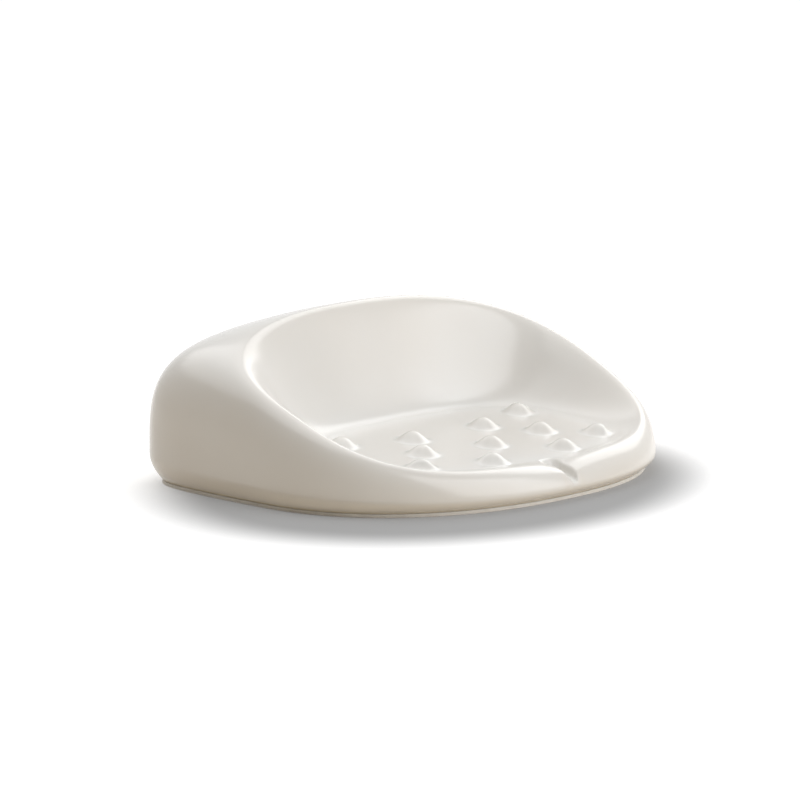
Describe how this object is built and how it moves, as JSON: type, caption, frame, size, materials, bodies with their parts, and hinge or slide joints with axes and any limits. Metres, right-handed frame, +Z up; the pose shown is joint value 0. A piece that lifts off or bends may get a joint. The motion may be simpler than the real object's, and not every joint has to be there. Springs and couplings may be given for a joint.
{
  "type": "soap dish",
  "caption": "Sloped white ceramic soap dish with a scooped, bumped tray draining through a groove in its low front lip, on a thin non-slip ring.",
  "frame": {"origin": "middle of the footprint, on the surface the dish stands on", "axes": "+X to the right along the dish's width, +Y from the low front lip with the drain groove to the high back, +Z up"},
  "size_m": [0.142, 0.115, 0.0473],
  "materials": {
    "white_glaze": "glossy warm white glaze",
    "pale_rubber": "matte, pale, slightly translucent"
  },
  "bodies": {
    "root": {"dish_body": "white_glaze", "non_slip_ring": "pale_rubber"}
  },
  "joints": []
}
